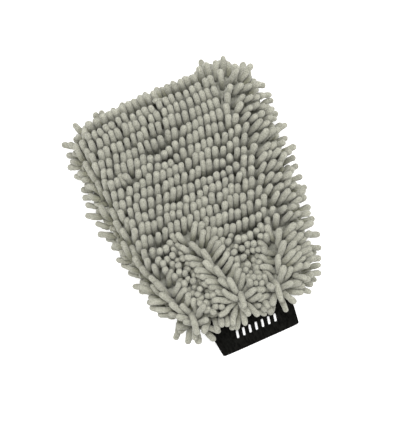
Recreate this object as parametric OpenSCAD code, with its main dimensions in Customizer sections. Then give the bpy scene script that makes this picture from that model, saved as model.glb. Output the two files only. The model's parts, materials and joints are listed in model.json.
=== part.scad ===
// Chenille wash mitt, lying flat.
// X runs across the mitt, +Y from the cuff to the tip, +Z up; the origin is on the
// resting plane, under the middle of the mitt. All sizes are in millimetres.
//
// Each layer of the pouch is a closed solid between two domes that spring from the
// seam plane. The layers are cut across at the knuckle line, where a hand bends them.

/* [Pouch] */
// Length of the cloth pouch, from the cuff seam to the tip seam
pouch_len = 220; // [190:1:270]
// Width of the cloth pouch at its widest
pouch_w = 182; // [150:1:220]
// Radius of the two corners at the tip
tip_corner_r = 22; // [12:1:35]
// Length over which the gathers at the cuff let out to the full width
gather_len = 190; // [120:1:200]
// Free height inside the pouch as it lies
pocket_h = 14; // [11:0.5:18]
// Height of the side seam above the resting plane
seam_z = 24; // [20:0.5:28]

/* [Layers] */
// Thickness of the knitted base cloth
cloth_t = 1.5; // [0.8:0.1:2.5]
// Thickness of the lining
lining_t = 0.8; // [0.4:0.1:1.5]
// Clearance between neighbouring layers
layer_gap = 0.3; // [0.2:0.05:0.5]

/* [Pile] */
// Depth of the pile above the front base cloth
pile_depth = 18; // [12:0.5:24]
// How far the pile stands out past the side and tip seams
fringe = 17; // [10:0.5:22]
// Distance between two rows of pile
row_pitch = 10.5; // [8:0.5:14]
// Height of the step between two rows
row_step = 1.8; // [0.6:0.1:2.5]

/* [Cuff] */
// Length of the cuff, from its hem to the cuff seam
cuff_len = 40; // [28:1:60]
// Width of the flat cuff at the hem
hem_w = 83; // [70:1:110]
// Width of the flat cuff at the cuff seam
cuff_seam_w = 92; // [76:1:120]
// Outside height of the cuff at the hem
hem_h = 17; // [14:0.5:24]
// Height of the hem's underside above the resting plane
hem_rest = 3; // [0.5:0.5:6]
// Thickness of one layer of the rib-knit band, which is folded double at the hem
band_t = 1.1; // [0.6:0.1:1.4]
// Thickness of the elastic tape inside the band
elastic_t = 0.8; // [0.4:0.1:1]
// Width of the elastic tape
elastic_w = 28; // [14:1:34]

/* [Print] */
// Length of the row of printed bars
print_len = 50; // [30:1:60]
// Height of the printed bars
print_h = 8; // [4:0.5:10]
// Number of printed bars
print_count = 7; // [3:1:9]

/* [Stitching] */
// Diameter of the sewing thread
thread_d = 0.8; // [0.4:0.1:1]
// Distance from one stitch to the next
stitch_pitch = 5; // [3:0.5:8]

/* [Movement] */
// Distance from the cuff seam to the knuckle line, where the pouch bends
knuckle_dist = 105; // [80:1:125]
// Largest bend at the knuckle line, in degrees
knuckle_angle = 45; // [20:1:50]

/* [Hidden] */

FRONT = 1;
BACK = -1;

// Places along Y; the whole mitt is centred on the origin.
total_len = cuff_len + pouch_len + fringe;
hem_y = -total_len / 2;
seam_y = hem_y + cuff_len;
tip_y = seam_y + pouch_len;
knuckle_y = seam_y + knuckle_dist;
corner_y = tip_y - tip_corner_r;

// Each layer of the pouch: how far its edge lies outside the seam line, and how
// high its crown stands above the seam plane.
cloth_out = [0, pocket_h / 2 + lining_t + layer_gap + cloth_t];
cloth_in = cloth_out - [cloth_t, cloth_t];
lining_out = cloth_in - [layer_gap, layer_gap];
lining_in = lining_out - [lining_t, lining_t];
pile_in = cloth_out + [layer_gap, layer_gap];
pile_out = [fringe, pile_in[1] + pile_depth];

// The piles stay clear of the stitches, which run along the edge of the cloth.
stitch_off = layer_gap + thread_d / 2;
pile_slit = thread_d / 2 + layer_gap;
cuff_slit = layer_gap / 2;

tip_close = 30;         // length over which the layers close to the tip seam
cuff_pile_share = 0.6;  // share of the pile's depth that is left at the cuff seam
puff_len = 45;          // length over which the pile reaches its full depth
gather_power = 0.5;     // how quickly the gathers let out

// The cuff and the pouch both stay clear of the stitches in the cuff seam.
seam_clear = thread_d / 2 + 2 * layer_gap;
cuff_start_y = seam_y - seam_clear;
pouch_start_y = seam_y + seam_clear;
cuff_t = 2 * band_t + elastic_t + layer_gap;
cuff_seam_h = 2 * cloth_out[1];
hem_z = hem_rest + hem_h / 2;

print_t = 0.2;
print_lift = 0.05;
print_slant = 1.6;      // how far the top of a bar leans to its side
print_edge = 12;        // distance from the hem to the bars

across_steps = 18;
tip_steps = 6;
tip_first = 14;         // distance from the knuckle line to the tip half's first full row
corner_steps = 7;
cuff_steps = 5;
knuckle_margin = 3;     // degrees of bend to spare

// How far from the knuckle line a surface ends that stands h above the seam plane.
function knuckle_back(h) = layer_gap + max(0, h) * tan((knuckle_angle + knuckle_margin) / 2);

// Half width of the outline that lies off outside the seam line, at y.
function half_w(y, off) =
    let (let_out = min(1, max(0, (y - seam_y) / gather_len)),
         body = cuff_seam_w / 2
              + (pouch_w - cuff_seam_w) / 2 * sin(90 * pow(let_out, gather_power)),
         r = tip_corner_r + off,
         past = y - corner_y)
    body + off - (past > 0 ? r - sqrt(max(0, r * r - past * past)) : 0);

// Height shares of a dome: across the mitt, and where it closes to the tip.
function bulge(u) = sqrt(max(0, 1 - pow(u, 4)));
function closing(y, off) =
    let (past = (y - (tip_y + off - tip_close)) / tip_close)
    past > 0 ? sqrt(max(0, 1 - past * past)) : 1;

// A point of a layer's dome; u runs from -1 to 1 across the mitt.
function dome(side, u, y, layer, slit = 0) =
    let (rise = (layer[1] - slit) * bulge(u) * closing(y, layer[0]))
    [u * half_w(y, layer[0]), y, max(0, seam_z + side * (slit + rise))];

// Shares from -1 to 1 that crowd towards both sides, where the domes turn down.
across = [for (i = [0:across_steps]) sin(90 * (2 * i / across_steps - 1))];

// Places of the rows of points along the palm's half and along the tip's half. A
// layer's last row before the knuckle line and the first one after it lie back from it.
// Two rows of points stand for each row of tufts: where it starts and where it ends.
function tuft_rows(y0, y1) =
    let (rows = floor((y1 - y0) / row_pitch), pitch = (y1 - y0) / rows)
    [for (k = [0:rows - 1]) each [y0 + k * pitch, y0 + (k + 0.8) * pitch]];
function palm_rows(end_y) =
    concat(tuft_rows(pouch_start_y, knuckle_y - knuckle_back(pile_out[1])), [end_y]);
function tip_rows(start_y, off) = concat(
    [start_y],
    [for (j = [0:tip_steps - 1]) knuckle_y + tip_first + (corner_y - knuckle_y - tip_first) * j / tip_steps],
    [for (j = [0:corner_steps]) corner_y + (tip_corner_r + off) * sin(90 * j / corner_steps)]);

// A closed solid between two grids of points with as many rows and columns each;
// rows run along +Y, columns along +X, and the upper grid is the one on top.
module slab(upper, lower) {
    rows = len(upper);
    cols = len(upper[0]);
    below = rows * cols;
    faces = concat(
        [for (i = [0:rows - 2], j = [0:cols - 2])
            let (a = i * cols + j, b = a + cols)
            each [[a, b, b + 1], [a, b + 1, a + 1],
                  [below + a, below + b + 1, below + b], [below + a, below + a + 1, below + b + 1]]],
        [for (i = [0:rows - 2])
            let (a = i * cols, b = a + cols, c = a + cols - 1, d = b + cols - 1)
            each [[a, below + b, b], [a, below + a, below + b],
                  [c, d, below + d], [c, below + d, below + c]]],
        [for (j = [0:cols - 2])
            let (a = j, b = j + 1, c = (rows - 1) * cols + j, d = c + 1)
            each [[a, b, below + b], [a, below + b, below + a],
                  [c, below + d, d], [c, below + c, below + d]]]);
    polyhedron(points = [for (grid = [upper, lower], row = grid) each row], faces = faces, convexity = 6);
}

// The same from an outer and an inner grid on either side of the seam plane.
module shell(side, outer, inner) {
    if (side == FRONT)
        slab(outer, inner);
    else
        slab(inner, outer);
}

// --- The pouch's cloth and lining ---

// How far back a layer stays from the knuckle line: the back layers open there.
function back_off(side, layer) = knuckle_back(side * layer[1]);

function palm_grid(side, layer) =
    [for (y = palm_rows(knuckle_y - back_off(side, layer)))
        [for (u = across) dome(side, u, y, layer)]];
function tip_grid(side, layer) =
    [for (y = tip_rows(knuckle_y + back_off(side, layer), layer[0]))
        [for (u = across) dome(side, u, y, layer)]];

module layer_palm(side, outer, inner) {
    shell(side, palm_grid(side, outer), palm_grid(side, inner));
}
module layer_tip(side, outer, inner) {
    shell(side, tip_grid(side, outer), tip_grid(side, inner));
}

module front_cloth_palm() { color("darkgray") layer_palm(FRONT, cloth_out, cloth_in); }
module front_cloth_tip() { color("darkgray") layer_tip(FRONT, cloth_out, cloth_in); }
module back_cloth_palm() { color("darkgray") layer_palm(BACK, cloth_out, cloth_in); }
module back_cloth_tip() { color("darkgray") layer_tip(BACK, cloth_out, cloth_in); }
module front_lining_palm() { color("gainsboro") layer_palm(FRONT, lining_out, lining_in); }
module front_lining_tip() { color("gainsboro") layer_tip(FRONT, lining_out, lining_in); }
module back_lining_palm() { color("gainsboro") layer_palm(BACK, lining_out, lining_in); }
module back_lining_tip() { color("gainsboro") layer_tip(BACK, lining_out, lining_in); }

// --- The pile: a mat whose outside steps down at each row of tufts ---

// The mat's outside at y, dropped by the row step where share is 1.
function pile_layer(y, share) =
    let (puff = min(1, (y - pouch_start_y) / puff_len),
         depth = pile_depth * (cuff_pile_share + (1 - cuff_pile_share) * sin(90 * puff)))
    [pile_out[0], pile_in[1] + depth - row_step * share];

// The places of a mat's rows, each with the share of the step that it is dropped by:
// a row of tufts starts low and ends high.
function stepped(ys) = [for (k = [0:len(ys) - 1]) [ys[k], 1 - k % 2]];
function pile_palm_rows(side) =
    let (end_y = knuckle_y - back_off(side, pile_out), rows = stepped(palm_rows(end_y)))
    concat([for (k = [0:len(rows) - 2]) rows[k]], [[end_y, 0]]);
function pile_tip_rows(side) =
    let (start_y = knuckle_y + back_off(side, pile_out),
         close_y = tip_y + fringe - tip_close)
    concat(stepped(tuft_rows(start_y, close_y)),
           [for (j = [0:corner_steps]) [close_y + tip_close * sin(90 * j / corner_steps), 0.5]]);

function pile_grid(side, rows) =
    [for (row = rows)
        [for (u = across) dome(side, u, row[0], pile_layer(row[0], row[1]), pile_slit)]];
function pile_inner_grid(side, ys) =
    [for (y = ys) [for (u = across) dome(side, u, y, pile_in, pile_slit)]];

module pile_palm(side) {
    inner_ys = palm_rows(knuckle_y - back_off(side, pile_in));
    shell(side, pile_grid(side, pile_palm_rows(side)), pile_inner_grid(side, inner_ys));
}
// The inside has as many rows as the outside, spread over its own length.
module pile_tip(side) {
    rows = pile_tip_rows(side);
    y0 = knuckle_y + back_off(side, pile_in);
    share = (tip_y + pile_in[0] - y0) / (tip_y + fringe - rows[0][0]);
    shell(side, pile_grid(side, rows),
          pile_inner_grid(side, [for (row = rows) y0 + (row[0] - rows[0][0]) * share]));
}

module front_pile_palm() { color([0.62, 0.62, 0.57]) pile_palm(FRONT); }
module front_pile_tip() { color([0.62, 0.62, 0.57]) pile_tip(FRONT); }
module back_pile_palm() { color([0.55, 0.55, 0.5]) pile_palm(BACK); }
module back_pile_tip() { color([0.55, 0.55, 0.5]) pile_tip(BACK); }

// --- The cuff: two halves of a folded band, each with an elastic tape inside ---

// A point of the half band at depth below its outside.
function cuff_point(side, u, y, depth) =
    let (s = (seam_y - y) / cuff_len,
         w = (cuff_seam_w + (hem_w - cuff_seam_w) * s) / 2 - depth,
         h = (cuff_seam_h + (hem_h - cuff_seam_h) * s) / 2 - depth)
    [u * w, y, seam_z + (hem_z - seam_z) * s + side * (cuff_slit + (h - cuff_slit) * bulge(u))];

function cuff_grid(side, path) =
    [for (p = path) [for (u = across) cuff_point(side, u, p[0], p[1])]];

// The fold's outside and inside as [y, depth], out to the hem and back again.
hem_turn_y = hem_y + cuff_t / 2;
fold_out = concat(
    [for (j = [0:cuff_steps]) [cuff_start_y + (hem_turn_y - cuff_start_y) * j / cuff_steps, 0]],
    [for (a = [30:30:150]) [hem_turn_y - cuff_t / 2 * sin(a), cuff_t / 2 * (1 - cos(a))]],
    [for (j = [0:cuff_steps]) [hem_turn_y + (cuff_start_y - hem_turn_y) * j / cuff_steps, cuff_t]]);
fold_r = cuff_t / 2 - band_t;
fold_in = concat(
    [for (j = [0:cuff_steps]) [cuff_start_y + (hem_turn_y - cuff_start_y) * j / cuff_steps, band_t]],
    [for (a = [30:30:150]) [hem_turn_y - fold_r * sin(a), cuff_t / 2 - fold_r * cos(a)]],
    [for (j = [0:cuff_steps]) [hem_turn_y + (cuff_start_y - hem_turn_y) * j / cuff_steps, cuff_t - band_t]]);

// The fold's path starts out along -Y, so its outside is the lower grid of the slab.
module half_cuff(side) {
    shell(-side, cuff_grid(side, fold_out), cuff_grid(side, fold_in));
}

module half_elastic(side) {
    depth = band_t + layer_gap / 2;
    y0 = hem_turn_y + layer_gap;
    path = [for (j = [0:cuff_steps]) y0 + elastic_w * j / cuff_steps];
    outer = cuff_grid(side, [for (y = path) [y, depth]]);
    inner = cuff_grid(side, [for (y = path) [y, depth + elastic_t]]);
    shell(side, outer, inner);
}

module cuff_front() { color([0.07, 0.07, 0.07]) half_cuff(FRONT); }
module cuff_back() { color([0.07, 0.07, 0.07]) half_cuff(BACK); }
module elastic_front() { color("dimgray") half_elastic(FRONT); }
module elastic_back() { color("dimgray") half_elastic(BACK); }

// A row of plain slanted bars, standing in for a print on the front of the cuff.
module cuff_print() {
    bar_pitch = print_len / print_count;
    bar_w = bar_pitch * 0.45;
    ys = [hem_y + print_edge, hem_y + print_edge + print_h];
    half = cuff_seam_w / 2;
    function bar(x0, depth) =
        [for (j = [0:1])
            [for (i = [0:1]) cuff_point(FRONT, (x0 + (i - 0.5) * bar_w + j * print_slant) / half, ys[j], depth)]];
    color("white")
    for (k = [0:print_count - 1]) {
        x0 = (k - (print_count - 1) / 2) * bar_pitch;
        slab(bar(x0, -print_lift - print_t), bar(x0, -print_lift));
    }
}

// --- Stitches ---

// A stitch from one point to another, with a length of 0.7 of the distance.
module stitch(from, to) {
    d = to - from;
    reach = norm(d);
    translate(from + 0.15 * d)
    rotate([0, acos(d[2] / reach), atan2(d[1], d[0])])
    cylinder(d = thread_d, h = 0.7 * reach, $fn = 24);
}

module stitch_row(points) {
    for (k = [0:len(points) - 2])
        stitch(points[k], points[k + 1]);
}

// The side seam's stitches run along the edge of the cloth, on both sides.
module side_row(y0, y1) {
    steps = max(1, round((y1 - y0) / stitch_pitch));
    for (s = [-1, 1])
        stitch_row([for (k = [0:steps])
            let (y = y0 + (y1 - y0) * k / steps)
            [s * half_w(y, stitch_off), y, seam_z]]);
}

module side_stitches_palm() {
    color("gray") side_row(pouch_start_y + stitch_pitch, knuckle_y - thread_d);
}
module side_stitches_tip() {
    corner_r = tip_corner_r + stitch_off;
    turns = round(corner_r * 1.57 / stitch_pitch);
    flat = half_w(tip_y, 0);
    flats = round(2 * flat / stitch_pitch);
    color("gray") {
        side_row(knuckle_y + thread_d, corner_y);
        for (s = [-1, 1])
            stitch_row([for (k = [0:turns])
                let (y = corner_y + corner_r * sin(90 * k / turns))
                [s * half_w(y, stitch_off), y, seam_z]]);
        stitch_row([for (k = [0:flats]) [flat * (2 * k / flats - 1), tip_y + stitch_off, seam_z]]);
    }
}

// The cuff seam's stitches run round the mouth between the pouch and the cuff.
module cuff_seam_stitches() {
    w = cuff_seam_w / 2 - thread_d;
    h = cuff_seam_h / 2 - thread_d;
    steps = round(2 * w / stitch_pitch);
    color("gray")
    for (side = [FRONT, BACK])
        stitch_row([for (k = [0:steps])
            let (u = sin(90 * (2 * k / steps - 1)) * 0.98)
            [u * w, seam_y, seam_z + side * (thread_d + (h - thread_d) * bulge(u))]]);
}

front_pile_palm();
front_pile_tip();
back_pile_palm();
back_pile_tip();
front_cloth_palm();
front_cloth_tip();
back_cloth_palm();
back_cloth_tip();
front_lining_palm();
front_lining_tip();
back_lining_palm();
back_lining_tip();
side_stitches_palm();
side_stitches_tip();
cuff_seam_stitches();
cuff_front();
cuff_back();
elastic_front();
elastic_back();
cuff_print();
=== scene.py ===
"""The looks of a chenille wash mitt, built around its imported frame.

Lengths are in millimetres until a mesh is made, and the stage is in metres. X runs across
the mitt, Y from the cuff to the tip, Z up. A tuft is one chenille finger of the pile: its
root is on the base cloth, and all tufts settle against each other, the cloth, the cuff and
the floor before they are drawn.
"""

import json
import math
from collections import namedtuple

import bpy
import numpy as np
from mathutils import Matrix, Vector


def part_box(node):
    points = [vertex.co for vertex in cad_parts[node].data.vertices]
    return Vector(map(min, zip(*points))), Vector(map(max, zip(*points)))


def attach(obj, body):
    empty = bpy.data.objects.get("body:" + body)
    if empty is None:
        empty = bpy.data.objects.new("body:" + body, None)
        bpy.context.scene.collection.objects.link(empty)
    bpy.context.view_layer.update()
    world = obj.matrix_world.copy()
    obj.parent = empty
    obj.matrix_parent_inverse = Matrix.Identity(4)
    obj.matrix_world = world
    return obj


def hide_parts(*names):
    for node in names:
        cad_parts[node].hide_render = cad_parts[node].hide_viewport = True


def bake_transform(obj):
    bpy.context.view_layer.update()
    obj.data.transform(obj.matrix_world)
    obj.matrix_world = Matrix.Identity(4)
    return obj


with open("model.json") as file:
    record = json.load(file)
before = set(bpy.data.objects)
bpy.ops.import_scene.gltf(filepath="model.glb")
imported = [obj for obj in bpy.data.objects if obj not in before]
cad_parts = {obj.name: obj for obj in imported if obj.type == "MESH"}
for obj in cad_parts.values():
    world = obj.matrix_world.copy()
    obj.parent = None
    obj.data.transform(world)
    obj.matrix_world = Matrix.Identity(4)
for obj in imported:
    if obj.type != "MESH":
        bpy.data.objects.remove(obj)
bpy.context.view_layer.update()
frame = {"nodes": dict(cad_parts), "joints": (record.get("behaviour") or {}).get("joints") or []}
rng = np.random.default_rng(7)  # where tufts grow and how they lie

MM = 0.001
FRONT, BACK = 1, -1
FACES = ((FRONT, "front"), (BACK, "back"))
PALM, TIP, CUFF = "palm", "tip", "cuff_front"


# ---------------------------------------------------------------- places from the frame


def corners(node):
    """A CAD node's lowest and highest corner, in millimetres."""
    low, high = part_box(node)
    return np.array(low) / MM, np.array(high) / MM


def joint_place(name):
    return np.array(next(j["pos_m"] for j in frame["joints"] if j["name"] == name)) / MM


KNUCKLE_Y, SEAM_Z = joint_place("knuckle_bend")[1:]
SEAM_Y, CUFF_HINGE_Z = joint_place("cuff_open")[1:]
TIP_Y = corners("front_cloth_tip")[1][1]
POUCH_HALF = corners("front_cloth_tip")[1][0]
CLOTH_H = corners("front_cloth_tip")[1][2] - SEAM_Z
LINING_H = corners("front_lining_tip")[1][2] - SEAM_Z
LINING_INSET = POUCH_HALF - corners("front_lining_tip")[1][0]
PILE_TOP = corners("front_pile_palm")[1][2]
HEM_Y = corners("cuff_back")[0][1]
HEM_LOW = corners("cuff_back")[0][2]
CUFF_LEN = SEAM_Y - HEM_Y

# Sizes that the frame doesn't give
CLOTH_T = 1.5
LINING_T = 0.8
CUFF_SEAM_HALF = 46  # the cuff's half width at its seam and at its hem
HEM_HALF = 41.5
HEM_H = 17  # the hem's height as the mitt lies
HEM_Z = HEM_LOW + HEM_H / 2
CUFF_T = 3.3  # both layers of the folded band
WIDEN_LEN = 190  # the pouch widens from the cuff seam over this length
TIP_CORNER_R = 22
TIP_CLOSE = 30  # the two faces come together over this length before the tip seam


def smooth_step(t):
    t = np.clip(t, 0, 1)
    return t * t * (3 - 2 * t)


def half_w(y, off=0.0):
    """Half width of the outline that lies off outside the pouch's seam line, at y."""
    let_out = np.clip((y - SEAM_Y) / WIDEN_LEN, 0, 1)
    body = CUFF_SEAM_HALF + (POUCH_HALF - CUFF_SEAM_HALF) * np.sin(math.pi / 2 * np.sqrt(let_out))
    r = TIP_CORNER_R + off
    past = np.clip(y - (TIP_Y - TIP_CORNER_R), 0, r)
    return body + off - (r - np.sqrt(r * r - past * past))


def bulge(u):
    """A face's height at share u of the half width, as a share of its middle's."""
    return np.sqrt(np.clip(1 - u**4, 0, 1))


def closing(y, off=0.0):
    """How much of its height a face has left near the tip seam."""
    past = np.clip((y - (TIP_Y + off - TIP_CLOSE)) / TIP_CLOSE, 0, 1)
    return np.sqrt(1 - past * past)


# The gathers at the cuff: each pleat is a ridge that runs out from the cuff seam. Its
# places are shares of the half width, at the seam and where it fades, and spray is how far
# past the seam the tufts at its end spread from.
Pleat = namedtuple("Pleat", "at_seam at_fade length height breadth spray")
PLEATS = [
    Pleat(-0.90, -0.87, 60, 8, 9, 6),
    Pleat(-0.05, -0.32, 88, 12, 9, 9),
    Pleat(0.58, 0.78, 60, 9, 9, 2),
]


def pleat_middle(pleat, y):
    """Where a pleat's crest runs, and how much of its height is left there."""
    s = np.clip((y - SEAM_Y) / pleat.length, 0, 1)
    share = pleat.at_seam + (pleat.at_fade - pleat.at_seam) * s
    sewn_down = 0.2 + 0.8 * smooth_step((y - SEAM_Y) / 12)
    return share * half_w(y), np.cos(math.pi / 2 * s) ** 0.8 * sewn_down


def spray_middle(pleat):
    return pleat.at_seam * half_w(SEAM_Y + 8), SEAM_Y + pleat.spray


def pleat_height(x, y):
    """How high the gathers lift the front cloth."""
    rise = np.zeros(np.broadcast(x, y).shape)
    for pleat in PLEATS:
        middle, left = pleat_middle(pleat, y)
        rise += pleat.height * left * np.exp(-(((x - middle) / pleat.breadth) ** 2))
    return rise


def within_seams(u):
    """The gathers fade out just before the side seams."""
    return np.clip((1 - np.abs(u)) * 6, 0, 1)


def cloth_z(side, x, y):
    """Height of the base cloth's outside."""
    u = np.clip(x / half_w(y), -1, 1)
    z = SEAM_Z + side * CLOTH_H * bulge(u) * closing(y)
    if side == FRONT:
        z = z + pleat_height(x, y) * within_seams(u)
    return z


def cloth_normal(side, x, y):
    """The way out of the base cloth."""
    d = 1.0
    slope_x = (cloth_z(side, x + d, y) - cloth_z(side, x - d, y)) / (2 * d)
    slope_y = (cloth_z(side, x, y + d) - cloth_z(side, x, y - d)) / (2 * d)
    n = np.stack([-slope_x * side, -slope_y * side, np.full_like(slope_x, side)], -1)
    return n / np.linalg.norm(n, axis=-1, keepdims=True)


def cuff_middle_z(y):
    return SEAM_Z + (HEM_Z - SEAM_Z) * (SEAM_Y - y) / CUFF_LEN


def cuff_half_size(y, depth=0):
    """The cuff's half width and half height at depth below its outside."""
    s = (SEAM_Y - y) / CUFF_LEN
    w = CUFF_SEAM_HALF + (HEM_HALF - CUFF_SEAM_HALF) * s - depth
    h = CLOTH_H + (HEM_H / 2 - CLOTH_H) * s - depth
    return w, h


def cuff_point(side, x, y, depth):
    """A point of one half of the cuff at depth below its outside."""
    w, h = cuff_half_size(y, depth)
    return np.stack([x, y, cuff_middle_z(y) + side * h * bulge(x / w)], -1)


# ---------------------------------------------------------------- meshes


def mesh_object(name, points, faces):
    """A smooth mesh from points in millimetres; faces is a list of index arrays of 3 or 4
    columns."""
    mesh = bpy.data.meshes.new(name)
    loops = np.concatenate([np.asarray(f).ravel() for f in faces]).astype(np.int32)
    sizes = np.concatenate([np.full(len(f), np.shape(f)[1]) for f in faces]).astype(np.int32)
    starts = np.concatenate([[0], np.cumsum(sizes)[:-1]]).astype(np.int32)
    mesh.vertices.add(len(points))
    mesh.vertices.foreach_set("co", (np.asarray(points, float) * MM).astype(np.float32).ravel())
    mesh.loops.add(len(loops))
    mesh.loops.foreach_set("vertex_index", loops)
    mesh.polygons.add(len(sizes))
    mesh.polygons.foreach_set("loop_start", starts)
    mesh.polygons.foreach_set("loop_total", sizes)
    mesh.polygons.foreach_set("use_smooth", np.ones(len(sizes), bool))
    mesh.update(calc_edges=True)
    mesh.validate()
    piece = bpy.data.objects.new(name, mesh)
    bpy.context.scene.collection.objects.link(piece)
    return piece


def grid_faces(rows, cols, wrap=False):
    """Quads between the rows and columns of a grid of points."""
    i, j = np.meshgrid(np.arange(rows - 1), np.arange(cols if wrap else cols - 1), indexing="ij")
    a = i * cols + j
    b = i * cols + (j + 1) % cols
    return np.stack([a, b, b + cols, a + cols], -1).reshape(-1, 4)


# ---------------------------------------------------------------- the tufts

TUFT_R = 3.2
TUFT_LEN = 24
HANG_LEN = 17  # of the tufts that hang over the seams
ROW_PITCH = 10.4
IN_ROW = 7.1  # from tuft to tuft in a row, on flat and on gathered cloth
IN_ROW_GATHERED = 6.5
STAGGER = 0.24  # each row is shifted against the next by twice this share of IN_ROW
SEAM_ROWS = 3  # rows along the cuff seam that are closer than the rest
SEAM_ROW_PITCH = 7.4
SEAM_ROWS_GAP = 8  # from the last of them to the first of the rest
NODES_PER_TUFT = 8
LOWEST = TUFT_R * 1.15  # the limits of a centreline's height
HIGHEST = PILE_TOP + 5

SETTLE_ROUNDS = 120
KEEP_SHAPE = 0.16  # the share of its way back to how it was set that a tuft goes in a round
PUSH_SHARE = 0.7  # the share of an overlap that is pushed apart in a round
SQUEEZE = 0.97  # how close tufts come, as a share of their thickness
PAIRS_LAST = 5  # rounds that one search for close pairs is used for
PAIR_MARGIN = 2  # how much wider it searches, for what comes close in those rounds


def unit(v):
    return v / np.maximum(np.linalg.norm(v, axis=-1, keepdims=True), 1e-9)


class Tufts:
    """Roots, directions and lengths of many tufts, and after settle() their centrelines."""

    def __init__(self):
        self.parts = []

    def add(self, side, x, y, lean, tilt0, tilt1, length, upward, lit):
        """Tufts rooted on one side's cloth at x, y. Each turns from tilt0 to tilt1 degrees
        off the cloth's normal, towards its lean. Upward is how much of the normal's own
        sideways slope is taken out of it first, and lit is how much of the painted root
        shade their roots are spared."""
        tilt0, tilt1, length, upward, lit = (
            np.broadcast_to(np.asarray(each, float), x.shape)
            for each in (tilt0, tilt1, length, upward, lit)
        )
        n = cloth_normal(side, x, y)
        n[:, :2] *= (1 - upward)[:, None]
        n = unit(n)
        root = np.stack([x, y, cloth_z(side, x, y)], -1)
        lean3 = np.concatenate([lean, np.zeros((len(x), 1))], -1)
        lean3 = unit(lean3 - (lean3 * n).sum(-1, keepdims=True) * n)
        t = np.linspace(0, 1, NODES_PER_TUFT - 1)
        tilt = np.radians(tilt0[:, None] + (tilt1 - tilt0)[:, None] * t**0.8)
        along = np.cos(tilt)[..., None] * n[:, None] + np.sin(tilt)[..., None] * lean3[:, None]
        self.parts.append((np.full(len(x), side), root, along, length, lit))

    def add_free(self, side, x, y, first, last, length):
        """Tufts on one side's cloth that turn from one given direction to another."""
        root = np.stack([x, y, cloth_z(side, x, y)], -1)
        t = np.linspace(0, 1, NODES_PER_TUFT - 1)[None, :, None]
        along = unit(unit(first)[:, None] * (1 - t) + unit(last)[:, None] * t)
        length = length + rng.normal(0, 1.5, len(x))
        self.parts.append((np.full(len(x), side), root, along, length, np.full(len(x), 0.3)))

    def lay_out(self):
        """Joins the parts and puts every centreline where its tuft was set."""
        self.side, self.root, self.along, self.length, self.lit = map(
            np.concatenate, zip(*self.parts)
        )
        self.step = self.length / (NODES_PER_TUFT - 1)
        steps = self.along * self.step[:, None, None]
        self.points = np.concatenate(
            [self.root[:, None], self.root[:, None] + np.cumsum(steps, 1)], 1
        )


def close_pairs(points, reach):
    """Index pairs of points closer than reach, found cell by cell."""
    cell = np.floor(points / reach).astype(np.int64)
    cell -= cell.min(0) - 1
    size = cell.max(0) + 2
    key = (cell[:, 0] * size[1] + cell[:, 1]) * size[2] + cell[:, 2]
    order = np.argsort(key, kind="stable")
    ranked = key[order]
    found = []
    index = np.arange(len(points))
    for dx in (-1, 0, 1):
        for dy in (-1, 0, 1):
            for dz in (-1, 0, 1):
                if (dx, dy, dz) < (0, 0, 0):
                    continue
                other = key + (dx * size[1] + dy) * size[2] + dz
                first = np.searchsorted(ranked, other, "left")
                count = np.searchsorted(ranked, other, "right") - first
                i = np.repeat(index, count)
                within = np.arange(count.sum()) - np.repeat(np.cumsum(count) - count, count)
                j = order[np.repeat(first, count) + within]
                if (dx, dy, dz) == (0, 0, 0):
                    i, j = i[i < j], j[i < j]
                near = ((points[i] - points[j]) ** 2).sum(-1) < reach * reach
                found.append(np.stack([i[near], j[near]], -1))
    return np.concatenate(found)


def keep_outside(tufts):
    """Pushes every centreline off the cloth, the cuff and the floor."""
    p = tufts.points
    x, y, z = p[..., 0], p[..., 1], p[..., 2]
    # the cloth, a little softer than the tufts' own thickness near the roots
    gap = TUFT_R * np.linspace(0, 1, NODES_PER_TUFT)[None] ** 0.5
    over = (np.abs(x) < half_w(y)) & (y > SEAM_Y) & (y < TIP_Y)
    for side in (FRONT, BACK):
        mine = over & (tufts.side == side)[:, None]
        limit = cloth_z(side, x, y) + side * gap
        past = side * (z - limit) < 0
        z = np.where(mine & past, limit, z)
    # the cuff
    w, h = cuff_half_size(y)
    beside = (y <= SEAM_Y) & (y > HEM_Y - TUFT_R) & (np.abs(x) < w + TUFT_R)
    u = np.clip(x / (w + TUFT_R), -1, 1)
    for side in (FRONT, BACK):
        limit = cuff_middle_z(y) + side * (h + gap) * bulge(u)
        mine = beside & (tufts.side == side)[:, None] & (side * (z - limit) < 0)
        z = np.where(mine, limit, z)
    tufts.points[..., 2] = np.clip(z, LOWEST, HIGHEST)


def settle(tufts):
    """Lets the tufts push each other aside while each keeps its length, its root and,
    softly, the way that it was set to lie."""
    p = tufts.points
    count, nodes = p.shape[:2]
    every = p.reshape(-1, 3)
    owner = np.repeat(np.arange(count), nodes)
    rank = np.tile(np.arange(nodes), count)
    reach = 2 * TUFT_R * SQUEEZE
    for k in range(SETTLE_ROUNDS):
        wanted = p[:, :-1] + tufts.along * tufts.step[:, None, None]
        p[:, 1:] += KEEP_SHAPE * (1 - 0.7 * k / SETTLE_ROUNDS) * (wanted - p[:, 1:])
        if k % PAIRS_LAST == 0:
            i, j = close_pairs(every, reach + PAIR_MARGIN).T
            keep = (owner[i] != owner[j]) & (rank[i] > 0) & (rank[j] > 0)
            i, j = i[keep], j[keep]
        d = every[i] - every[j]
        dist = np.maximum(np.linalg.norm(d, axis=-1), 1e-6)
        # each of the two gives way by half
        push = np.clip(reach - dist, 0, None) * 0.5 * PUSH_SHARE
        move = d * (push / dist)[:, None]
        shift = np.stack(
            [np.bincount(i, m, len(every)) - np.bincount(j, m, len(every)) for m in move.T], -1
        )
        touching = np.concatenate([i[push > 0], j[push > 0]])
        crowd = np.bincount(touching, minlength=len(every))
        every += shift / np.maximum(crowd, 1)[:, None] ** 0.5
        keep_outside(tufts)
        p[:, 0] = tufts.root
        for n in range(1, nodes):
            p[:, n] = p[:, n - 1] + unit(p[:, n] - p[:, n - 1]) * tufts.step[:, None]


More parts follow.
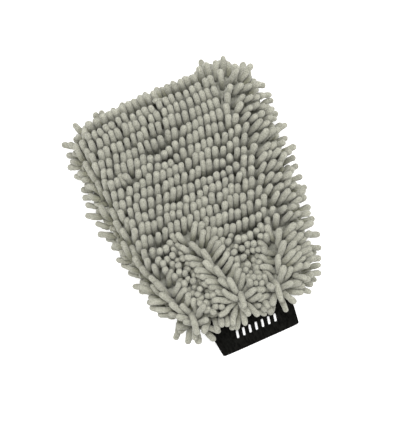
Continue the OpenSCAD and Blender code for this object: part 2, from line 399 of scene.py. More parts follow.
TUFT_SIDES = 12
TUFT_RINGS = 14
END_TURNS = [35, 62, 90]  # degrees round the end at its last rings


def curve_through(line, where):
    """Points at shares of the way along each line of nodes, by a Catmull-Rom curve."""
    at = where * (NODES_PER_TUFT - 1)
    k = np.minimum(at.astype(int), NODES_PER_TUFT - 2)
    f = (at - k)[None, :, None]
    before = 2 * line[:, :1] - line[:, 1:2]
    after = 2 * line[:, -1:] - line[:, -2:-1]
    padded = np.concatenate([before, line, after], 1)
    p0, p1, p2, p3 = (padded[:, k + n] for n in range(4))
    square = 2 * p0 - 5 * p1 + 4 * p2 - p3
    cube = 3 * p1 - p0 - 3 * p2 + p3
    return 0.5 * (2 * p1 + (p2 - p0) * f + square * f**2 + cube * f**3)


def frames_along(centre):
    """Two directions square to each centreline, carried along it without twist."""
    tangent = unit(np.gradient(centre, axis=1))
    side = np.empty_like(tangent)
    side[:, 0] = unit(np.cross(tangent[:, 0], [0.3, 0.9, 0.2]))
    for ring in range(1, TUFT_RINGS):
        carried, t = side[:, ring - 1], tangent[:, ring]
        side[:, ring] = unit(carried - (carried * t).sum(-1, keepdims=True) * t)
    return side, np.cross(tangent, side)


def ring_radii(look, count, where, radius_share, angle):
    """Each tuft has its own thickness, swells to its free end and is a little lumpy, and
    none is quite round."""
    own = TUFT_R * (0.985 + 0.05 * look.standard_normal(count).clip(-1.5, 1.5))
    phase = look.uniform(0, 2 * math.pi, (count, 3))
    s = where[None, :]
    lumps = 0.045 * np.sin(14 * s + phase[:, :1]) + 0.03 * np.sin(31 * s + phase[:, 1:2])
    swell = 0.84 + 0.17 * np.minimum(s * 2.2, 1)
    radius = own[:, None] * swell * (1 + lumps) * radius_share
    oval = 0.05 * np.sin(2 * angle + phase[:, 2][:, None, None] + 5 * s[:, :-1, None])
    radii = radius[:, :-1, None] * (1 + oval)
    return radii * (1 + 0.025 * look.standard_normal(radii.shape).clip(-2, 2))


def tuft_mesh(name, tufts, chosen):
    """One mesh of the chosen tufts, each a closed tube with a round end."""
    line = tufts.points[chosen]
    count = len(line)
    look = np.random.default_rng(len(name) * 1000 + count)
    # the last rings crowd into the round end
    turn = np.radians(END_TURNS)
    body = np.linspace(0, 1, TUFT_RINGS - len(turn))
    end_share = (TUFT_R / tufts.length[chosen]).mean()
    where = np.concatenate([body * (1 - end_share), 1 - end_share + end_share * np.sin(turn)])
    radius_share = np.concatenate([np.ones(len(body)), np.cos(turn)])
    centre = curve_through(line, where)
    side, other = frames_along(centre)
    angle = np.linspace(0, 2 * math.pi, TUFT_SIDES, endpoint=False)
    ring_r = ring_radii(look, count, where, radius_share, angle)
    circle = (
        np.cos(angle)[None, None, :, None] * side[:, :-1, None]
        + np.sin(angle)[None, None, :, None] * other[:, :-1, None]
    )
    rings = centre[:, :-1, None] + ring_r[..., None] * circle
    per = (TUFT_RINGS - 1) * TUFT_SIDES + 2
    points = np.concatenate([rings.reshape(count, -1, 3), centre[:, -1:], centre[:, :1]], 1)
    quads = grid_faces(TUFT_RINGS - 1, TUFT_SIDES, wrap=True)
    a = np.arange(TUFT_SIDES)
    b = (a + 1) % TUFT_SIDES
    last = (TUFT_RINGS - 2) * TUFT_SIDES
    cap = np.stack([a + last, b + last, np.full(TUFT_SIDES, per - 2)], -1)
    foot = np.stack([b, a, np.full(TUFT_SIDES, per - 1)], -1)
    offset = (np.arange(count) * per)[:, None, None]
    quads = (quads + offset).reshape(-1, 4)
    triangles = (np.concatenate([cap, foot]) + offset).reshape(-1, 3)
    piece = mesh_object(name, points.reshape(-1, 3), [quads, triangles])
    # along runs from 0 at a tuft's root to 1 at its end; raised to the tuft's lit, it masks the
    # chenille's painted root shade
    along = np.concatenate([np.repeat(where[:-1], TUFT_SIDES), [1, 0]])
    for attribute, values in (
        ("tint", np.repeat(look.uniform(0, 1, count), per)),
        ("along", np.maximum(along, tufts.lit[chosen][:, None]).ravel()),
    ):
        layer = piece.data.attributes.new(attribute, "FLOAT", "POINT")
        layer.data.foreach_set("value", values.astype(np.float32))
    return piece


def drift(x, y, seed, size):
    """A smooth wander between -1 and 1 over the pile, in patches of about the given size."""
    phase = np.random.default_rng(seed).uniform(0, 2 * math.pi, 6)
    k = 2 * math.pi / size
    return (
        np.sin(k * x + phase[0]) * np.cos(0.8 * k * y + phase[1])
        + 0.7 * np.sin(1.7 * k * y + 0.6 * k * x + phase[2])
        + 0.5 * np.sin(2.6 * k * x - 1.3 * k * y + phase[3])
    ) / 2.2


# Spots where the pile stands up instead of lying combed: share of the half width, y, radius
UPRIGHT_SPOTS = [(-0.20, 59, 15), (0.39, 27, 13), (0.15, 22, 8), (-0.66, -28, 12), (-0.3, 12, 7)]

# The rings of tufts that a spray is made of: how many, their tilt in degrees, the ring's radius
SPRAY = ((11, 70, 4.0), (3, 40, 1.5))


def front_lie(x, y):
    """How the front tufts lie: the way they lean, their tilt at root and end in degrees,
    and how far they ignore the cloth's slope. They are combed to the tip and a little to
    +X, fan out at the right side, lie along the left edge, fall off the gathers' flanks,
    stand up between the gathers and spread out over the cuff seam."""
    half = half_w(y)
    u = x / half
    to_right = np.radians(23) * smooth_step((TIP_Y + 5 - y) / 90)
    comb = to_right + np.radians(9) * drift(x, y, 3, 90)
    lean = np.stack([np.sin(comb), np.cos(comb)], -1)
    upward = np.full(len(x), 0.25)
    tilt0 = np.full(len(x), 24.0)
    tilt1 = 56.0 + 6 * drift(x, y, 4, 60)

    # out at the right side, and back a little at its tip corner
    right = smooth_step((u - 0.62) / 0.3)
    corner = smooth_step((y - 55) / 30)
    right *= 1 - 0.8 * smooth_step((y - (TIP_Y - 34)) / 28) * smooth_step((TIP_Y + 8 - x) / 40)
    lean += right[:, None] * np.stack([2.4 + 0 * u, -0.2 - 1.1 * corner], -1)
    rim = smooth_step((u - 0.78) / 0.16) * smooth_step((TIP_Y - 18 - y) / 15)
    upward += 0.65 * rim
    tilt1 -= 10 * right * corner + 13 * rim

    # along the left edge, lying low
    left = smooth_step((-u - 0.90) / 0.05)
    edge_slope = half_w(y + 2) - half_w(y - 2)
    along_edge = unit(np.stack([-edge_slope / 4 + 0.05, np.ones_like(y)], -1))
    lean = lean * (1 - left)[:, None] + along_edge * left[:, None]
    upward += 0.65 * left
    tilt0 += 30 * left
    tilt1 += 28 * left

    # short of the tip edge, where they stand nearly upright
    tip_edge = smooth_step((y - (TIP_Y - 26)) / 20) * smooth_step((0.8 - u) / 0.35)
    tilt0 -= 14 * tip_edge
    tilt1 -= 16 * tip_edge
    upward += 0.5 * tip_edge

    # off the gathers
    d = 1.5
    fall_x = -(pleat_height(x + d, y) - pleat_height(x - d, y)) / (2 * d)
    ridge = np.zeros(len(x))
    for pleat in PLEATS:
        middle, height_left = pleat_middle(pleat, y)
        ahead = pleat_middle(pleat, y + 2)[0]
        crest = height_left * np.exp(-(((x - middle) / 8) ** 2))
        along = unit(np.stack([(ahead - middle) / 2, np.ones_like(y)], -1))
        lean = lean * (1 - crest)[:, None] + along * crest[:, None]
        ridge = np.maximum(ridge, height_left * np.exp(-(((x - middle) / 15) ** 2)))
    lean[:, 0] += 2.4 * fall_x
    upward += 0.35 * np.clip(ridge, 0, 1)
    tilt0 += 16 * ridge
    tilt1 += 24 * ridge

    # upright between them, and in the spots
    stand = smooth_step((SEAM_Y + 92 - y) / 60) * (1 - smooth_step(ridge * 2.2))
    stand *= 1 - smooth_step((np.abs(u) - 0.72) / 0.2)
    for share, spot_y, radius in UPRIGHT_SPOTS:
        away = np.hypot(x - share * half, y - spot_y) / radius
        stand = np.maximum(stand, np.exp(-(away**2)))
    tilt0 *= 1 - 0.75 * stand
    tilt1 *= 1 - 0.72 * stand

    # over the cuff seam: to the cuff, and all ways from the end of each gather
    near = smooth_step((SEAM_Y + 13 - y) / 9)
    turning = 1 - np.abs(2 * near - 1)
    tilt0 *= 1 - 0.8 * turning
    tilt1 *= 1 - 0.6 * turning
    lean[:, 1] = lean[:, 1] * (1 - near) - near
    lean[:, 0] = lean[:, 0] * (1 - 0.5 * near) + 0.9 * near * u * np.abs(u)
    tilt0 += 22 * near
    tilt1 += 18 * near
    for pleat in PLEATS:
        middle_x, middle_y = spray_middle(pleat)
        away = np.hypot(x - middle_x, y - middle_y)
        most = np.where(y > SEAM_Y + 6, 0.95, 0.6)
        spread = np.exp(-((away / 15) ** 2))[:, None] * most[:, None]
        radial = np.stack([x - middle_x, y - middle_y], -1) / (away + 2)[:, None]
        lean = unit(lean) * (1 - spread) + radial * spread
    return unit(lean), tilt0, tilt1, upward


def back_lie(x, y):
    """How the back tufts lie, pressed by the mitt's weight: to the tip, a little out along
    the sides, to the cuff at its corners, and hanging from the tip edge."""
    u = x / half_w(y)
    out = smooth_step((np.abs(u) - 0.72) / 0.2)
    near_cuff = smooth_step((SEAM_Y + 40 - y) / 30)
    lean = np.stack([0.1 + 0.5 * np.sign(u) * out, 1 - 1.7 * near_cuff * out], -1)
    hang = smooth_step((y - (TIP_Y - 24)) / 18) * smooth_step((0.8 - np.abs(u)) / 0.2)
    tilt0 = 42.0 - 22 * hang - 10 * out
    tilt1 = 86.0 - 34 * hang - 22 * out
    return unit(lean), tilt0, tilt1, 0.3 + 0.5 * hang + 0.6 * out


def rows_of(side, first, last):
    """Root places in rows across one side's cloth, closer together where it is gathered."""
    xs, ys = [], []
    close_rows = [first + SEAM_ROW_PITCH * k for k in range(SEAM_ROWS)]
    rest = close_rows[-1] + SEAM_ROWS_GAP
    rows = round((last - rest) / ROW_PITCH)
    even_rows = [rest + (last - rest) * n / rows for n in range(rows + 1)]
    for k, y in enumerate(close_rows + even_rows):
        half = float(half_w(y)) - 0.8
        across = np.linspace(-half, half, 300)
        lift = np.diff(cloth_z(side, across, y))
        arc = np.concatenate([[0], np.cumsum(np.hypot(np.diff(across), lift))])
        gathered = float(smooth_step((SEAM_Y + 45 - y) / 40))
        pitch = IN_ROW + (IN_ROW_GATHERED - IN_ROW) * gathered
        count = round(arc[-1] / pitch)
        place = (np.arange(count) + 0.5 + STAGGER * (-1) ** k) / count * arc[-1]
        x = np.interp(place + rng.normal(0, 0.35, count), arc, across)
        inside = float(smooth_step((y - rest) / 25) * smooth_step((last - y) / 20))
        wave = 2.2 * inside * drift(x, np.full(count, y), 5, 85)
        xs.append(x)
        ys.append(y + wave + rng.normal(0, 0.35, count))
    return np.concatenate(xs), np.clip(np.concatenate(ys), SEAM_Y + 1.5, TIP_Y - 1.2)


def add_crests(tufts):
    """Tufts that mark each gather: a chain along its crest, pairs that fall off the crest,
    and a spray at its end."""
    for pleat in PLEATS:
        # the chain, combed to the tip
        y = np.arange(SEAM_Y + 16, SEAM_Y + 0.8 * pleat.length, 11.0)
        x = pleat_middle(pleat, y)[0]
        lean = unit(np.stack([(pleat_middle(pleat, y + 2)[0] - x) / 2, np.ones_like(y)], -1))
        lean = unit(lean + rng.normal(0, 0.12, lean.shape))
        tilt = rng.normal(0, 5, len(y))
        tufts.add(FRONT, x, y, lean, 34 + tilt, 78 + tilt, TUFT_LEN + 1, 0.8, lit=0.8)
        # the pairs, one tuft to each side
        y = np.arange(SEAM_Y + 20, SEAM_Y + 0.72 * pleat.length, 8.0)
        for to in (-1, 1):
            along = y + 1.5 * to
            x = pleat_middle(pleat, along)[0] + 3.5 * to
            lean = np.stack([np.full(len(y), 0.87 * to), np.full(len(y), 0.5)], -1)
            lean = unit(lean + rng.normal(0, 0.1, lean.shape))
            tilt = rng.normal(0, 5, len(y))
            tufts.add(FRONT, x, along, lean, 30 + tilt, 76 + tilt, TUFT_LEN, 0.6, lit=0.5)
        # the spray over the cuff seam, with a few tufts standing in its middle
        middle_x, middle_y = spray_middle(pleat)
        at_side = abs(pleat.at_seam) > 0.8
        for rays, tilt, ring in SPRAY:
            turn = (np.arange(rays) + rng.uniform(-0.25, 0.25, rays)) * 2 * math.pi / rays
            ray = np.stack([np.cos(turn), np.sin(turn)], -1)
            x = middle_x + ring * ray[:, 0]
            y = np.maximum(middle_y + ring * ray[:, 1], SEAM_Y + 0.5)
            tilt = tilt + rng.normal(0, 6, rays)
            length = TUFT_LEN + 2 + rng.normal(0, 1, rays)
            length -= 9 * np.clip(ray[:, 0] * np.sign(pleat.at_seam), 0, 1) * at_side
            tufts.add(FRONT, x, y, ray, tilt - 30, tilt + 16, length, 0.9, lit=1.0)
        # and one that comes down the crest and lies over that middle
        x = middle_x + np.array([0.5])
        y = middle_y + np.array([8.0])
        lean = unit(np.array([[-0.15, -1.0]]))
        tufts.add(FRONT, x, y, lean, 38.0, 98.0, TUFT_LEN + 3, 0.9, lit=1.0)


def add_seam_fringe(tufts):
    """Tufts at the very edge of both cloths, which hide the side and tip seams."""

    def towards(*parts):
        """Directions from their x, y and z, a little uneven."""
        parts = np.broadcast_arrays(*parts)
        return np.stack(parts, -1) + rng.normal(0, 0.11, (len(parts[0]), 3))

    # along the sides: those that hang down from the front's edge
    y = np.arange(SEAM_Y + 5, TIP_Y - 8, ROW_PITCH * 0.65)
    x, level = half_w(y) * np.resize([0.995, 0.965], len(y)), 0 * y
    first, last = towards(0.5, 0.3, level - 0.4), towards(0.1, 0.3, level - 0.95)
    tufts.add_free(FRONT, x, y, first, last, HANG_LEN)
    first, last = towards(-0.4, 0.5, level - 0.4), towards(-0.05, 0.5, level - 0.9)
    tufts.add_free(FRONT, -x, y, first, last, HANG_LEN)
    # and those of the back's that stick out past the whole pile: at the right square to the
    # side and turned to the cuff near both ends, at the left to the tip but for the corner
    y = np.arange(SEAM_Y + 5, TIP_Y - 8, ROW_PITCH) + 0.5 * ROW_PITCH
    x, level = half_w(y) * 0.99, 0 * y
    to_cuff = smooth_step((-25 - y) / 50) + 0.8 * smooth_step((y - 60) / 30)
    way = towards(0.95, 0.05 - 0.5 * to_cuff, level - 0.12)
    tufts.add_free(BACK, x, y, way, way - [0, 0, 0.2], TUFT_LEN - 1)
    corner = smooth_step((SEAM_Y + 22 - y) / 12)
    way = towards(-0.8 + 0.2 * corner, 0.55 - 1.3 * corner, level - 0.12)
    tufts.add_free(BACK, -x, y, way, way - [0, 0, 0.2], TUFT_LEN)
    # a row from each face along the tip
    for side, shift in ((FRONT, 0.0), (BACK, 0.5)):
        x = np.arange(-POUCH_HALF + 12, POUCH_HALF - 11, IN_ROW) + shift * IN_ROW
        x = x + rng.normal(0, 1.2, len(x))
        past_corner = np.clip(np.abs(x) - (POUCH_HALF - TIP_CORNER_R), 0, None)
        y = np.full(len(x), TIP_Y - 1.0) - past_corner * 0.4
        sideways = 0.9 * (x / POUCH_HALF) ** 3 + rng.normal(0, 0.16, len(x))
        shorter = 5 * smooth_step((-35 - x) / 20)
        if side == FRONT:
            first, last = towards(sideways, 0.75, 0), towards(sideways, 0.3, -0.9)
            tufts.add_free(side, x, y, first, last, HANG_LEN + 2 - shorter)
        else:
            first, last = towards(sideways, 0.6, -0.6), towards(sideways, 0.2, -0.95)
            tufts.add_free(side, x, y, first, last, HANG_LEN - shorter)
    # and a few at the right end of the cuff seam, out and to the cuff
    y = SEAM_Y + np.array([1.0, 3.5, 6.5])
    out = np.array([0.55, 0.8, 0.95])
    first, last = towards(out, out - 1.15, 0.3), towards(out, out - 1.35, -0.2)
    tufts.add_free(FRONT, half_w(y) * 0.98, y, first, last, TUFT_LEN)


def clear_of_crests(x, y):
    """Which places of the rows aren't taken by the tufts of add_crests."""
    clear = np.ones(len(x), bool)
    for pleat in PLEATS:
        on_crest = np.abs(x - pleat_middle(pleat, y)[0]) < 4
        clear &= ~(on_crest & (y < SEAM_Y + 0.75 * pleat.length))
        middle_x, middle_y = spray_middle(pleat)
        clear &= np.hypot(x - middle_x, y - middle_y) > 6
    return clear


def grow_pile():
    """All tufts of both faces, settled."""
    tufts = Tufts()
    add_crests(tufts)
    add_seam_fringe(tufts)
    for side, lie, first in ((FRONT, front_lie, SEAM_Y + 3), (BACK, back_lie, SEAM_Y + 8)):
        x, y = rows_of(side, first, TIP_Y - 2)
        if side == FRONT:
            clear = clear_of_crests(x, y)
            x, y = x[clear], y[clear]
        lean, tilt0, tilt1, upward = lie(x, y)
        count = len(x)
        # the right edge is more unruly and its tufts are seen down to their roots, so their roots
        # get little of the painted root shade
        edge = smooth_step((x / half_w(y) - 0.6) / 0.3)
        lean = unit(lean + rng.normal(0, 0.07, lean.shape) * (1 + 1.2 * edge)[:, None])
        wild = rng.random(count) < 0.04
        lean[wild] = unit(lean[wild] + rng.normal(0, 0.6, (wild.sum(), 2)))
        tilt0 = tilt0 + rng.normal(0, 3, count)
        tilt1 = tilt1 + rng.normal(0, 4, count) * (1 + edge)
        length = TUFT_LEN + rng.normal(0, 0.9, count) * (1 + 1.3 * edge)
        length += 1.5 * edge * smooth_step((30 - y) / 20)
        tufts.add(side, x, y, lean, tilt0, tilt1, length, upward, lit=0.85 * edge)
    tufts.lay_out()
    settle(tufts)
    return tufts


# ---------------------------------------------------------------- materials


def new_material(name):
    material = bpy.data.materials.new(name)
    material.use_nodes = True
    tree = material.node_tree
    shader = tree.nodes["Principled BSDF"]
    return material, tree, shader


def add_node(tree, kind, **settings):
    node = tree.nodes.new(kind)
    for key, value in settings.items():
        if key in node.inputs:
            node.inputs[key].default_value = value
        else:
            setattr(node, key, value)
    return node


def add_ramp(tree, low_at, low, high_at, high):
    """A colour ramp from one colour at a value to another."""
    ramp = add_node(tree, "ShaderNodeValToRGB")
    first, last = ramp.color_ramp.elements
    first.position, first.color = low_at, (*low, 1)
    last.position, last.color = high_at, (*high, 1)
    return ramp


def add_range(tree, kind, **ends):
    """A map range node; ends names its ends, with _ for a space."""
    node = add_node(tree, "ShaderNodeMapRange", interpolation_type=kind)
    for name, value in ends.items():
        node.inputs[name.replace("_", " ")].default_value = value
    return node


def chenille_material():
    """Fluffy microfibre: a fine grain of fibre ends, blotches, a tint of each tuft's own, and
    painted shade that darkens each tuft towards its root.
    """
    material, tree, shader = new_material("chenille")
    link = tree.links.new
    place = add_node(tree, "ShaderNodeTexCoord")
    grain = add_node(tree, "ShaderNodeTexNoise", Scale=1100.0, Detail=3.0, Roughness=0.6)
    blotch = add_node(tree, "ShaderNodeTexNoise", Scale=260.0, Detail=2.0)
    link(place.outputs["Object"], grain.inputs["Vector"])
    link(place.outputs["Object"], blotch.inputs["Vector"])
    ramp = add_ramp(tree, 0.32, (0.137, 0.137, 0.108), 0.6, (0.36, 0.356, 0.298))
    link(grain.outputs["Fac"], ramp.inputs["Fac"])
    own = add_node(tree, "ShaderNodeAttribute", attribute_name="tint")
    shade = add_range(tree, "LINEAR", To_Min=0.9, To_Max=1.07)
    link(own.outputs["Fac"], shade.inputs["Value"])
    blotches = add_range(tree, "LINEAR", From_Min=0.3, From_Max=0.7, To_Min=0.93, To_Max=1.05)
    link(blotch.outputs["Fac"], blotches.inputs["Value"])
    along = add_node(tree, "ShaderNodeAttribute", attribute_name="along")
    depth = add_range(tree, "SMOOTHSTEP", From_Min=0.15, From_Max=0.75)
    link(along.outputs["Fac"], depth.inputs["Value"])
    # painted shade: darker and yellower towards the root, where the pile shades itself; 0, 6 and 7
    # are the mix's factor and two colours
    root_shade = add_node(tree, "ShaderNodeMix", data_type="RGBA")
    root_shade.inputs[6].default_value = (0.54, 0.54, 0.46, 1)
    root_shade.inputs[7].default_value = (1, 1, 1, 1)
    link(depth.outputs["Result"], root_shade.inputs[0])
    tinted = add_node(tree, "ShaderNodeVectorMath", operation="MULTIPLY")
    link(ramp.outputs["Color"], tinted.inputs[0])
    link(root_shade.outputs[2], tinted.inputs[1])
    both = add_node(tree, "ShaderNodeMath", operation="MULTIPLY")
    link(shade.outputs["Result"], both.inputs[0])
    link(blotches.outputs["Result"], both.inputs[1])
    mix = add_node(tree, "ShaderNodeVectorMath", operation="SCALE")
    link(tinted.outputs["Vector"], mix.inputs[0])
    link(both.outputs["Value"], mix.inputs["Scale"])
    link(mix.outputs["Vector"], shader.inputs["Base Color"])
    bump = add_node(tree, "ShaderNodeBump", Strength=0.7, Distance=0.0006)
    link(grain.outputs["Fac"], bump.inputs["Height"])
    link(bump.outputs["Normal"], shader.inputs["Normal"])
    shader.inputs["Roughness"].default_value = 0.95
    shader.inputs["Specular IOR Level"].default_value = 0.15
    shader.inputs["Sheen Weight"].default_value = 0.25
    shader.inputs["Sheen Roughness"].default_value = 0.5
    return material


def knit_material(name, dark, light, pitch, bump_depth, sheen, specular=0.2):
    """A fine knit: streaks of stitches that run along Y, under a fuzz of fibres. The
    stitches' pitch and the bump's depth are in millimetres."""
    material, tree, shader = new_material(name)
    link = tree.links.new
    place = add_node(tree, "ShaderNodeTexCoord")
    stretch = add_node(tree, "ShaderNodeMapping", Scale=(1.0, 0.3, 1.0))
    link(place.outputs["Object"], stretch.inputs["Vector"])
    columns = add_node(tree, "ShaderNodeTexNoise", Scale=0.7 / (pitch * MM), Detail=1.0)
    link(stretch.outputs["Vector"], columns.inputs["Vector"])
    fuzz = add_node(tree, "ShaderNodeTexNoise", Scale=1800.0, Detail=2.0)
    link(place.outputs["Object"], fuzz.inputs["Vector"])
    height = add_node(tree, "ShaderNodeMath", operation="MULTIPLY_ADD")
    link(fuzz.outputs["Fac"], height.inputs[0])
    height.inputs[1].default_value = 0.6  # the fuzz's share
    link(columns.outputs["Fac"], height.inputs[2])
    ramp = add_ramp(tree, 0.55, dark, 1.0, light)
    link(height.outputs["Value"], ramp.inputs["Fac"])
    link(ramp.outputs["Color"], shader.inputs["Base Color"])
    bump = add_node(tree, "ShaderNodeBump", Strength=0.6, Distance=bump_depth * MM)
    link(height.outputs["Value"], bump.inputs["Height"])
    link(bump.outputs["Normal"], shader.inputs["Normal"])
    shader.inputs["Roughness"].default_value = 0.9
    shader.inputs["Specular IOR Level"].default_value = specular
    shader.inputs["Sheen Weight"].default_value = sheen
    return material


CHENILLE = chenille_material()
CLOTH = knit_material(
    "base_cloth", (0.16, 0.16, 0.13), (0.34, 0.34, 0.29), pitch=0.9, bump_depth=0.3, sheen=0.1
)
LINING = knit_material(
    "lining_cloth", (0.34, 0.34, 0.31), (0.58, 0.58, 0.54), pitch=0.7, bump_depth=0.2, sheen=0.1
)
CUFF_KNIT = knit_material(
    "cuff_knit",
    (0.002, 0.002, 0.0018),
    (0.008, 0.008, 0.007),
    pitch=1.2,
    bump_depth=0.4,
    sheen=0.0,
    specular=0.01,
)
THREAD = knit_material(
    "thread", (0.14, 0.14, 0.12), (0.34, 0.34, 0.3), pitch=0.3, bump_depth=0.1, sheen=0.1
)
ELASTIC = knit_material(
    "elastic_tape", (0.02, 0.02, 0.02), (0.07, 0.07, 0.07), pitch=0.8, bump_depth=0.2, sheen=0.0
)


def ink_material():
    """Matte screen-print ink, worn thin in specks where the knit shows through."""
    material, tree, shader = new_material("print_ink")
    link = tree.links.new
    place = add_node(tree, "ShaderNodeTexCoord")
    specks = add_node(tree, "ShaderNodeTexNoise", Scale=1400.0, Detail=2.0)
    link(place.outputs["Object"], specks.inputs["Vector"])
    ramp = add_ramp(tree, 0.34, (0.25, 0.25, 0.25), 0.46, (0.8, 0.8, 0.8))
    link(specks.outputs["Fac"], ramp.inputs["Fac"])
    link(ramp.outputs["Color"], shader.inputs["Base Color"])
    shader.inputs["Roughness"].default_value = 0.7
    return material


INK = ink_material()


def dress(piece, material):
    piece.data.materials.clear()
    piece.data.materials.append(material)


# ---------------------------------------------------------------- zones by the knuckle line and the cuff seam

BEND_REACH = 30  # the pouch bends over this length on either side of the knuckle line
CUFF_ZONE = 17  # tufts rooted this near to the cuff seam make pieces of their own


def bend_with_hand(piece):
    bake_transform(piece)


# ---------------------------------------------------------------- pieces


def make_pile():
    """The tufts of each face in four pieces: those near the cuff's seam, those on the
    palm, those near the knuckle line, and those past it."""
    tufts = grow_pile()
    y = tufts.root[:, 1]
    cuff_end = SEAM_Y + CUFF_ZONE
    bend_start = KNUCKLE_Y - BEND_REACH - (TUFT_LEN + TUFT_R)
    bend_end = KNUCKLE_Y + BEND_REACH + (TUFT_LEN + TUFT_R)
    zones = {
        "cuff": y < cuff_end,
        "palm": (y >= cuff_end) & (y < bend_start),
        "knuckle": (y >= bend_start) & (y < bend_end),
        "tip": y >= bend_end,
    }
    for side, face in FACES:
        pieces = {}
        for zone, inside in zones.items():
            chosen = np.flatnonzero(inside & (tufts.side == side))
            piece = tuft_mesh(f"{face}_tufts_{zone}", tufts, chosen)
            dress(piece, CHENILLE)
            pieces[zone] = piece
        if side == FRONT:
            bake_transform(pieces["cuff"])
        else:
            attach(pieces["cuff"], PALM)
        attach(pieces["palm"], PALM)
        bend_with_hand(pieces["knuckle"])
        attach(pieces["tip"], TIP)
        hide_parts(f"{face}_pile_palm")
        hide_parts(f"{face}_pile_tip")


def closed_sheet_faces(rows, cols, start=0):
    """Faces of two grids laid one under the other and joined all round, the top one first."""
    top = grid_faces(rows, cols)
    count = rows * cols
    rim = np.concatenate(
        [
            np.arange(cols),
            np.arange(1, rows) * cols + cols - 1,
            (rows - 1) * cols + np.arange(cols - 2, -1, -1),
            np.arange(rows - 2, 0, -1) * cols,
        ]
    )
    after = np.roll(rim, -1)
    walls = np.stack([rim + count, after + count, after, rim], -1)
    return [top + start, top[:, ::-1] + count + start, walls + start]


def make_sheet(name, side, off, height, thick, material, nodes):
    """One continuous cloth from the cuff seam to the tip seam, as a closed thin solid. Off is
    how far its edge lies outside the seam line, height is its middle's above the seam."""
    rows, cols = 90, 60
    start_y = SEAM_Y + 1
    share = np.linspace(0, 1, rows)
    u = np.sin(math.pi / 2 * np.linspace(-1, 1, cols))
    layers = []
    for depth in (0.0, thick):
        end_y = TIP_Y + off - depth
        y = (start_y + (end_y - start_y) * np.sin(math.pi / 2 * share))[:, None]
        x = u[None] * half_w(y, off - depth)
        rise = (height - depth) * bulge(u)[None] * closing(y, off - depth)
        z = SEAM_Z + side * rise
        if side == FRONT:
            z = z + pleat_height(x, y) * within_seams(u)[None]
        layers.append(np.stack([x, y + 0 * x, z], -1).reshape(-1, 3))
    faces = closed_sheet_faces(rows, cols)
    if side == BACK:
        faces = [f[:, ::-1] for f in faces]
    piece = mesh_object(name, np.concatenate(layers), faces)
    dress(piece, material)
    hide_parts(*nodes)
    bend_with_hand(piece)


def make_sheets():
    for name, node, off, height, thick, material in (
        ("base_cloth", "cloth", 0, CLOTH_H, CLOTH_T, CLOTH),
        ("lining", "lining", -LINING_INSET, LINING_H, LINING_T, LINING),
    ):
        for side, face in FACES:
            nodes = [f"{face}_{node}_palm", f"{face}_{node}_tip"]
            make_sheet(f"{face}_{name}", side, off, height, thick, material, nodes)


def cuff_ring(angle, y, depth):
    """A closed ring round the cuff at depth below its outside, and the way out at each point."""
    side = np.where(np.sin(angle) >= 0, FRONT, BACK)
    w, h = cuff_half_size(y, depth)
    u = np.cos(angle)
    ring = np.stack([u * w, y + 0 * u, cuff_middle_z(y) + side * h * bulge(u)], -1)
    outward = unit(np.stack([u / w, 0 * u, side * np.abs(np.sin(angle)) / h], -1))
    return ring, outward


def stretch_with_mouth(piece):
    """Puts the piece's placement into its mesh, where it stays."""
    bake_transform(piece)


RIB_PITCH = 1.15
RIB_H = 0.11
INNER_RIBS = 0.4  # the height of the ribs inside, as a share of those outside


def make_cuff():
    """The cuff's band: a fine rib knit folded double at the hem, open at both ends."""
    around, along = 560, 34
    angle = np.linspace(0, 2 * math.pi, around, endpoint=False)
    turn_y = HEM_Y + CUFF_T / 2
    start_y = SEAM_Y - 1
    out = [(start_y + (turn_y - start_y) * k / along, 0.0) for k in range(along + 1)]
    turns = [math.radians(a) for a in range(15, 180, 15)]
    fold = [
        (turn_y - CUFF_T / 2 * math.sin(a), CUFF_T / 2 * (1 - math.cos(a))) for a in turns
    ]
    path = out + fold + [(y, CUFF_T) for y, _ in reversed(out)]
    rib_count = np.round(math.pi * (CUFF_SEAM_HALF + CLOTH_H) * 0.9 / RIB_PITCH)
    ribs = RIB_H * np.cos(rib_count * angle)
    rows = []
    for k, (y, depth) in enumerate(path):
        # the seam's stitches pull the outer layer into small waves
        pull = 0.5 * np.exp(-(start_y - y) / 6) * np.sin(23 * angle) if k <= along else 0
        ribs_here = ribs * (1 if depth == 0 else INNER_RIBS)
        ring, outward = cuff_ring(angle, y, depth)
        rows.append(ring + outward * (ribs_here + pull)[:, None])
    count = len(rows)
    faces = [grid_faces(count, around, wrap=True)]
    a = np.arange(around)
    b = (a + 1) % around
    last = (count - 1) * around
    faces.append(np.stack([a + last, b + last, b, a], -1))
    piece = mesh_object("cuff_band", np.concatenate(rows), faces)
    dress(piece, CUFF_KNIT)
    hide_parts("cuff_front", "cuff_back")
    stretch_with_mouth(piece)


ELASTIC_T = 1.0


def make_elastic():
    """One closed loop of elastic tape inside the hem's fold."""
    low, high = corners("elastic_back")
    around = 200
    angle = np.linspace(0, 2 * math.pi, around, endpoint=False)
    deep = CUFF_T / 2
    inside, outside = deep + ELASTIC_T / 2, deep - ELASTIC_T / 2
    path = [(low[1], inside), (low[1], outside), (high[1], outside), (high[1], inside)]
    points = np.concatenate([cuff_ring(angle, y, depth)[0] for y, depth in path])
    faces = grid_faces(len(path) + 1, around, wrap=True) % (len(path) * around)
    piece = mesh_object("elastic_loop", points, [faces])
    dress(piece, ELASTIC)
    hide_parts("elastic_front", "elastic_back")
    stretch_with_mouth(piece)


PRINT_BARS = 7
PRINT_SLANT = 1.6  # how far a bar's top is to the right of its foot
BAR_SHARE = 0.36  # a bar's width as a share of the bars' pitch
INK_OUT, INK_IN = 0.26, -0.02  # the ink's outside and underside above the cuff


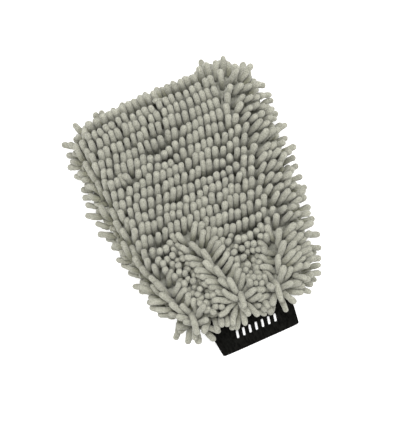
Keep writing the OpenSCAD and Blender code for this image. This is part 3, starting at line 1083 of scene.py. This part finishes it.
def make_print():
    """A row of plain slanted bars of ink on the cuff's front, following its curve."""
    low, high = corners("cuff_print")
    pitch = (high[0] - low[0] - PRINT_SLANT) / (PRINT_BARS - 1 + BAR_SHARE)
    across, up = 5, 9
    points, faces = [], []
    for k in range(PRINT_BARS):
        i, j = np.meshgrid(np.linspace(0, 1, across), np.linspace(0, 1, up))
        narrower = 1 - 0.35 * np.clip(np.abs(2 * j - 1) * 6 - 5, 0, 1)
        across_bar = pitch * BAR_SHARE * (0.5 + (i - 0.5) * narrower)
        x = low[0] + k * pitch + across_bar + PRINT_SLANT * j
        y = low[1] + (high[1] - low[1]) * j
        start = sum(len(p) for p in points)
        for lift in (INK_OUT, INK_IN):
            points.append(cuff_point(FRONT, x, y, -lift).reshape(-1, 3))
        faces.append(closed_sheet_faces(up, across, start))
    faces = [np.concatenate(f) for f in zip(*faces)]
    piece = mesh_object("cuff_print_bars", np.concatenate(points), faces)
    dress(piece, INK)
    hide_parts("cuff_print")
    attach(piece, CUFF)


# ---------------------------------------------------------------- the stage, in metres

FLOOR_HALF = 6.0
FLOOR_DROP = 0.0003
LIGHTS = (
    # name, place, size, power
    ("key", (0.2, 0.7, 1.7), 0.7, 23),
    ("fill_left", (-0.9, -0.6, 1.3), 1.0, 5),
    ("fill_right", (1.1, -0.3, 1.0), 1.0, 7),
)


def make_floor():
    """A white floor a hair below the mitt, which glows so that it renders as bare white."""
    half = FLOOR_HALF
    mesh = bpy.data.meshes.new("floor")
    mesh.from_pydata(
        [(-half, -half, 0), (half, -half, 0), (half, half, 0), (-half, half, 0)], [], [(0, 1, 2, 3)]
    )
    floor = bpy.data.objects.new("floor", mesh)
    bpy.context.scene.collection.objects.link(floor)
    floor.location.z = -FLOOR_DROP
    material, _, shader = new_material("floor_white")
    shader.inputs["Base Color"].default_value = (0.95, 0.95, 0.95, 1)
    shader.inputs["Emission Color"].default_value = (1, 1, 1, 1)
    shader.inputs["Emission Strength"].default_value = 0.42
    shader.inputs["Roughness"].default_value = 0.9
    dress(floor, material)


def make_lights():
    """An even white sky, a soft key light and two fills, all aimed at the mitt."""
    world = bpy.data.worlds.new("studio")
    world.use_nodes = True
    background = world.node_tree.nodes["Background"]
    background.inputs["Color"].default_value = (1, 1, 1, 1)
    background.inputs["Strength"].default_value = 1.0
    bpy.context.scene.world = world
    for name, place, size, power in LIGHTS:
        light = bpy.data.lights.new(name, "AREA")
        light.shape = "SQUARE"
        light.size = size
        light.energy = power
        lamp = bpy.data.objects.new(name, light)
        bpy.context.scene.collection.objects.link(lamp)
        lamp.location = place
        lamp.rotation_euler = (-Vector(place)).to_track_quat("-Z", "Y").to_euler()


CAMERA_HEIGHT = 2.6
CAMERA_TURN = math.radians(-24)
CAMERA_X, CAMERA_Y = -0.0042, 0.0046
VIEW_HEIGHT = 424  # millimetres that the image's height takes in at the middle of the pile


def make_camera():
    """A camera straight above the mitt, turned so that the mitt lies slanted in the image."""
    camera_data = bpy.data.cameras.new("camera")
    camera = bpy.data.objects.new("camera", camera_data)
    bpy.context.scene.collection.objects.link(camera)
    camera.location = (CAMERA_X, CAMERA_Y, CAMERA_HEIGHT)
    camera.rotation_euler = (0, 0, CAMERA_TURN)
    distance = CAMERA_HEIGHT - (SEAM_Z + CLOTH_H) * MM
    camera_data.lens = camera_data.sensor_width * distance / (VIEW_HEIGHT * MM)
    bpy.context.scene.camera = camera


bpy.context.scene.view_settings.view_transform = "Standard"
make_camera()
make_floor()
make_lights()
make_pile()
make_sheets()
make_cuff()
make_elastic()
make_print()
for node in ("side_stitches_palm", "side_stitches_tip", "cuff_seam_stitches"):
    dress(frame["nodes"][node], THREAD)
